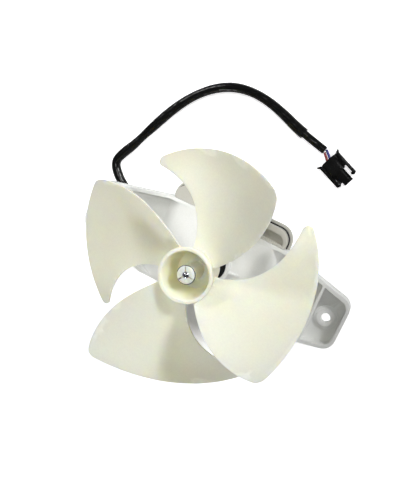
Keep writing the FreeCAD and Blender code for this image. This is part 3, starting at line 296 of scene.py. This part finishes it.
FINISHES = {
    "white_moulding": dict(colour=(0.83, 0.84, 0.83), far=(0.79, 0.8, 0.78), corner=(0.4, 0.4, 0.37),
                           smooth=0.38, dull=0.5),
    "grey_moulding": dict(colour=(0.56, 0.55, 0.5), far=(0.5, 0.49, 0.44), corner=(0.24, 0.24, 0.21),
                          smooth=0.42, dull=0.55),
    "black_rubber": dict(colour=(0.02, 0.02, 0.02), far=(0.03, 0.03, 0.03), corner=(0.01, 0.01, 0.01),
                         smooth=0.55, dull=0.75),
    "zinc_steel": dict(colour=(0.66, 0.66, 0.64), far=(0.56, 0.56, 0.55), corner=(0.2, 0.2, 0.2),
                       smooth=0.22, dull=0.4, metallic=1.0),
    "black_plastic": dict(colour=(0.018, 0.018, 0.019), far=(0.026, 0.026, 0.027), corner=(0.01, 0.01, 0.01),
                          smooth=0.4, dull=0.55),
    "bearing_steel": dict(colour=(0.7, 0.7, 0.72), far=(0.62, 0.62, 0.64), corner=(0.2, 0.2, 0.2),
                          smooth=0.12, dull=0.25, metallic=1.0),
    "core_steel": dict(colour=(0.42, 0.43, 0.45), far=(0.36, 0.36, 0.37), corner=(0.15, 0.14, 0.13),
                       smooth=0.3, dull=0.5, metallic=1.0),
    "copper_wire": dict(colour=(0.72, 0.32, 0.12), far=(0.6, 0.24, 0.08), corner=(0.2, 0.08, 0.03),
                        smooth=0.2, dull=0.35, metallic=1.0),
    "board_green": dict(colour=(0.03, 0.22, 0.08), far=(0.025, 0.18, 0.07), corner=(0.01, 0.08, 0.03),
                        smooth=0.2, dull=0.35),
    "can_aluminium": dict(colour=(0.75, 0.76, 0.78), far=(0.68, 0.69, 0.7), corner=(0.3, 0.3, 0.3),
                          smooth=0.2, dull=0.3, metallic=1.0),
    "terminal_plastic": dict(colour=(0.85, 0.85, 0.8), far=(0.8, 0.8, 0.74), corner=(0.4, 0.4, 0.36),
                             smooth=0.25, dull=0.4),
    "shaft_steel": dict(colour=(0.4, 0.4, 0.41), far=(0.34, 0.34, 0.35), corner=(0.1, 0.1, 0.1),
                        smooth=0.08, dull=0.18, metallic=1.0, grain=0.05),
    "magnet_grey": dict(colour=(0.09, 0.09, 0.1), far=(0.07, 0.07, 0.075), corner=(0.03, 0.03, 0.03),
                        smooth=0.5, dull=0.65),
    "spring_steel": dict(colour=(0.3, 0.3, 0.31), far=(0.24, 0.24, 0.25), corner=(0.08, 0.08, 0.08),
                         smooth=0.15, dull=0.3, metallic=1.0),
    # The ivory's strong paler edges are a painted highlight along the blade rims, and its cup colour is
    # painted warm light in the hub cup
    "ivory_plastic": dict(colour=(0.87, 0.857, 0.73), far=(0.86, 0.838, 0.7), corner=(0.76, 0.72, 0.52),
                          smooth=0.3, dull=0.42, grain=0.08, glow_through=0.9, rubbing_and_highlight=1.2, corner_darkening=0.1,
                          edge_lift=1.13, cup=(0.9, 0.87, 0.66)),
    "black_sleeve": dict(colour=(0.003, 0.003, 0.003), far=(0.005, 0.005, 0.005),
                         corner=(0.001, 0.001, 0.001), smooth=0.12, dull=0.24, creases=0.3, shine=0.2),
    "red_insulation": dict(colour=(0.3, 0.006, 0.01), far=(0.22, 0.005, 0.008), corner=(0.1, 0.003, 0.004),
                           smooth=0.3, dull=0.42),
    "blue_insulation": dict(colour=(0.006, 0.01, 0.26), far=(0.005, 0.008, 0.2), corner=(0.003, 0.004, 0.1),
                            smooth=0.3, dull=0.42),
    "connector_black": dict(colour=(0.003, 0.003, 0.003), far=(0.005, 0.005, 0.005),
                            corner=(0.001, 0.001, 0.001), smooth=0.14, dull=0.24, shine=0.22),
    "contact_tin": dict(colour=(0.72, 0.72, 0.7), far=(0.64, 0.64, 0.62), corner=(0.3, 0.3, 0.3),
                        smooth=0.2, dull=0.35, metallic=1.0),
}


def make_materials():
    """The shared groups, then one material for each finish."""
    for make in (tone_drift_group, moulded_grain_group, rubbed_and_highlit_edges_group, gloss_change_group,
                 sleeve_creases_group):
        tree = make()
        GROUPS[tree.name] = tree
    return {name: moulding(name, **finish) for name, finish in FINISHES.items()}


# Solids of the frame: edge roundings in millimetres, angles in degrees, welding gaps in metres

EDGE_ROUNDING = {"impeller": 0.7, "mounting_bracket": 0.35, "motor_housing": 0.4, "rear_cover": 0.4,
                 "connector_housing": 0.25}
ROUNDING_STEPS = 3
ROUNDED_FROM = 40
CRISP_FROM = 28
CRISP_FROM_ROUNDED = 50
WELD_GAP = 0.00001
WELD_GAP_ROUNDED = 0.00003


def dress_nodes(materials):
    """Gives each solid its slot's finish, joined faces and smooth curves, and some solids rounded edges."""
    slots = {item["node"]: item["material_slot"] for item in frame["record"]["subparts"]}
    for name, node in nodes.items():
        node.data.materials.clear()
        node.data.materials.append(materials[slots[name]])
        node.data.polygons.foreach_set("use_smooth", [True] * len(node.data.polygons))
        rounded = name in EDGE_ROUNDING
        weld = node.modifiers.new("joined_faces", "WELD")
        weld.merge_threshold = WELD_GAP_ROUNDED if rounded else WELD_GAP
        if rounded:
            round_off = node.modifiers.new("rounded_edges", "BEVEL")
            round_off.width = EDGE_ROUNDING[name] * MM
            round_off.segments = ROUNDING_STEPS
            round_off.limit_method = "ANGLE"
            round_off.angle_limit = math.radians(ROUNDED_FROM)
        split = node.modifiers.new("crisp_edges", "EDGE_SPLIT")
        split.split_angle = math.radians(CRISP_FROM_ROUNDED if rounded else CRISP_FROM)


# Floor, lamps and world, in metres, degrees and watts

FLOOR_SIZE = 6
FLOOR_COLOUR = (0.86, 0.86, 0.86)
FLOOR_ROUGHNESS = 0.9
FLOOR_GLOW = (0.76, 1.0)
GLOW_RISE = (0.11, 0.3)
SHADE_PLACE = (0.004, -0.042, 0.0)
SHADE_REACH = (0.01, 0.03)


def seen_directly(tree):
    """1 for what is seen directly or through a clear piece, and 0 for the light on the part."""
    path = tree.nodes.new("ShaderNodeLightPath").outputs
    seen = put(tree, "ShaderNodeMath", {0: path["Is Camera Ray"], 1: path["Is Transmission Ray"]},
               operation="MAXIMUM")
    return seen.outputs["Value"]


def add_stage():
    """Pale floor whose glow makes it white, with a shaded spot on the ground behind the hub."""
    bpy.ops.mesh.primitive_plane_add(size=FLOOR_SIZE, location=(0, 0, 0))
    floor = bpy.context.object
    floor.name = "pale_floor"
    material, tree, shader, place = start_material("pale_floor")
    shader.inputs["Base Color"].default_value = rgba(FLOOR_COLOUR)
    shader.inputs["Roughness"].default_value = FLOOR_ROUGHNESS
    shader.inputs["Emission Color"].default_value = WHITE
    away = put(tree, "ShaderNodeVectorMath", {0: place}, operation="LENGTH")
    rise = ramp(tree, away.outputs["Value"], start=GLOW_RISE[0], end=GLOW_RISE[1],
                low=FLOOR_GLOW[0], high=FLOOR_GLOW[1])
    from_shade = put(tree, "ShaderNodeVectorMath", {0: place, 1: SHADE_PLACE}, operation="DISTANCE")
    open_ground = ramp(tree, from_shade.outputs["Value"], start=SHADE_REACH[0], end=SHADE_REACH[1])
    glow = product(tree, seen_directly(tree), product(tree, rise, open_ground))
    tree.links.new(glow, shader.inputs["Emission Strength"])
    floor.data.materials.append(material)


# Lamps: name, azimuth, elevation, size, power and spread

LIT_PLACE = Vector((-0.085, 0.02, 0.06))
LAMP_DISTANCE = 1.2
LAMPS = (
    ("right_softbox", 58, 28, 0.4, 0.37, 16),
    ("left_softbox", 150, 40, 0.4, 0.18, 20),
    ("low_fill", 280, 12, 0.4, 0.2, 17),
    ("top_softbox", 70, 74, 0.3, 0.09, 16),
)
WORLD_LIGHT = 0.13


def add_light():
    """Soft lamps aimed left of the hub, and a world that is white to see and lights the part evenly."""
    for name, azimuth, elevation, size, power, spread in LAMPS:
        around, above = math.radians(azimuth), math.radians(elevation)
        level = math.cos(above)
        towards = Vector((math.cos(around) * level, math.sin(around) * level, math.sin(above)))
        data = bpy.data.lights.new(name, "AREA")
        data.size = size
        data.energy = power
        data.spread = math.radians(spread)
        lamp = bpy.data.objects.new(name, data)
        scene.collection.objects.link(lamp)
        lamp.location = LIT_PLACE + towards * LAMP_DISTANCE
        lamp.rotation_mode = "QUATERNION"
        lamp.rotation_quaternion = towards.to_track_quat("Z", "Y")
    world = bpy.data.worlds.new("studio")
    scene.world = world
    world.use_nodes = True
    tree = world.node_tree
    soft = tree.nodes["Background"]
    soft.inputs["Color"].default_value = WHITE
    soft.inputs["Strength"].default_value = WORLD_LIGHT
    bright = put(tree, "ShaderNodeBackground", {"Color": WHITE, "Strength": 1.0})
    mix = put(tree, "ShaderNodeMixShader", {0: seen_directly(tree), 1: soft.outputs["Background"],
                                            2: bright.outputs["Background"]})
    tree.links.new(mix.outputs["Shader"], tree.nodes["World Output"].inputs["Surface"])


# Lead, in millimetres: points of its line from the gland to the thinner sleeve, and its swelling at them

CORD_POINTS = [
    (-41.0, 10.0, 6.4), (-48.0, 10.0, 6.4), (-57.0, 10.2, 4.6), (-66.6, 11.2, 3.5), (-76.0, 13.6, 3.45),
    (-84.5, 17.2, 3.45), (-91.6, 22.6, 3.45), (-97.0, 30.0, 3.45), (-93.6, 38.0, 3.45), (-88.8, 45.6, 3.45),
    (-85.0, 53.6, 3.45), (-80.6, 62.6, 3.45), (-75.4, 73.0, 3.45), (-69.0, 84.2, 3.45), (-60.6, 95.2, 3.45),
    (-50.0, 104.6, 3.45), (-37.6, 110.8, 3.45), (-24.0, 112.6, 3.45), (-10.2, 110.8, 3.45),
    (2.6, 106.8, 3.45), (12.6, 102.9, 3.7), (18.6, 101.3, 3.8),
]
CORD_DIAMETER = 6.2
CORD_ROUNDNESS = 6
CORD_STEPS = 8
SLEEVE_SWELL = {0: 0.9, 1: 0.9, 2: 0.9, 3: 0.95, 6: 1.06, 8: 1.1, 9: 1.06, 10: 0.88, 11: 1.06, 12: 1.1,
                13: 1.04, 14: 0.96, 16: 1.04, 17: 0.96, 19: 1.08, 20: 1.16, 21: 1.18}

def add_cord(materials):
    """Loose sleeving with pinches and swellings, which ends round the thinner sleeve."""
    data = bpy.data.curves.new("cord", "CURVE")
    data.dimensions = "3D"
    spline = data.splines.new("NURBS")
    spline.points.add(len(CORD_POINTS) - 1)
    for point, place in zip(spline.points, CORD_POINTS):
        point.co = (place[0] * MM, place[1] * MM, place[2] * MM, 1)
    for number, swell in SLEEVE_SWELL.items():
        spline.points[number].radius = swell
    spline.order_u = 3
    spline.use_endpoint_u = True
    spline.resolution_u = CORD_STEPS
    data.bevel_depth = 0.5 * CORD_DIAMETER * MM
    data.bevel_resolution = CORD_ROUNDNESS
    data.use_fill_caps = True
    cord = bpy.data.objects.new("cord", data)
    scene.collection.objects.link(cord)
    data.materials.append(materials["black_sleeve"])
    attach(cord, "bracket")
    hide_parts("cable_sleeve")


add_camera()
add_stage()
add_light()
materials = make_materials()
dress_nodes(materials)
add_cord(materials)

scene.view_settings.view_transform = "Standard"
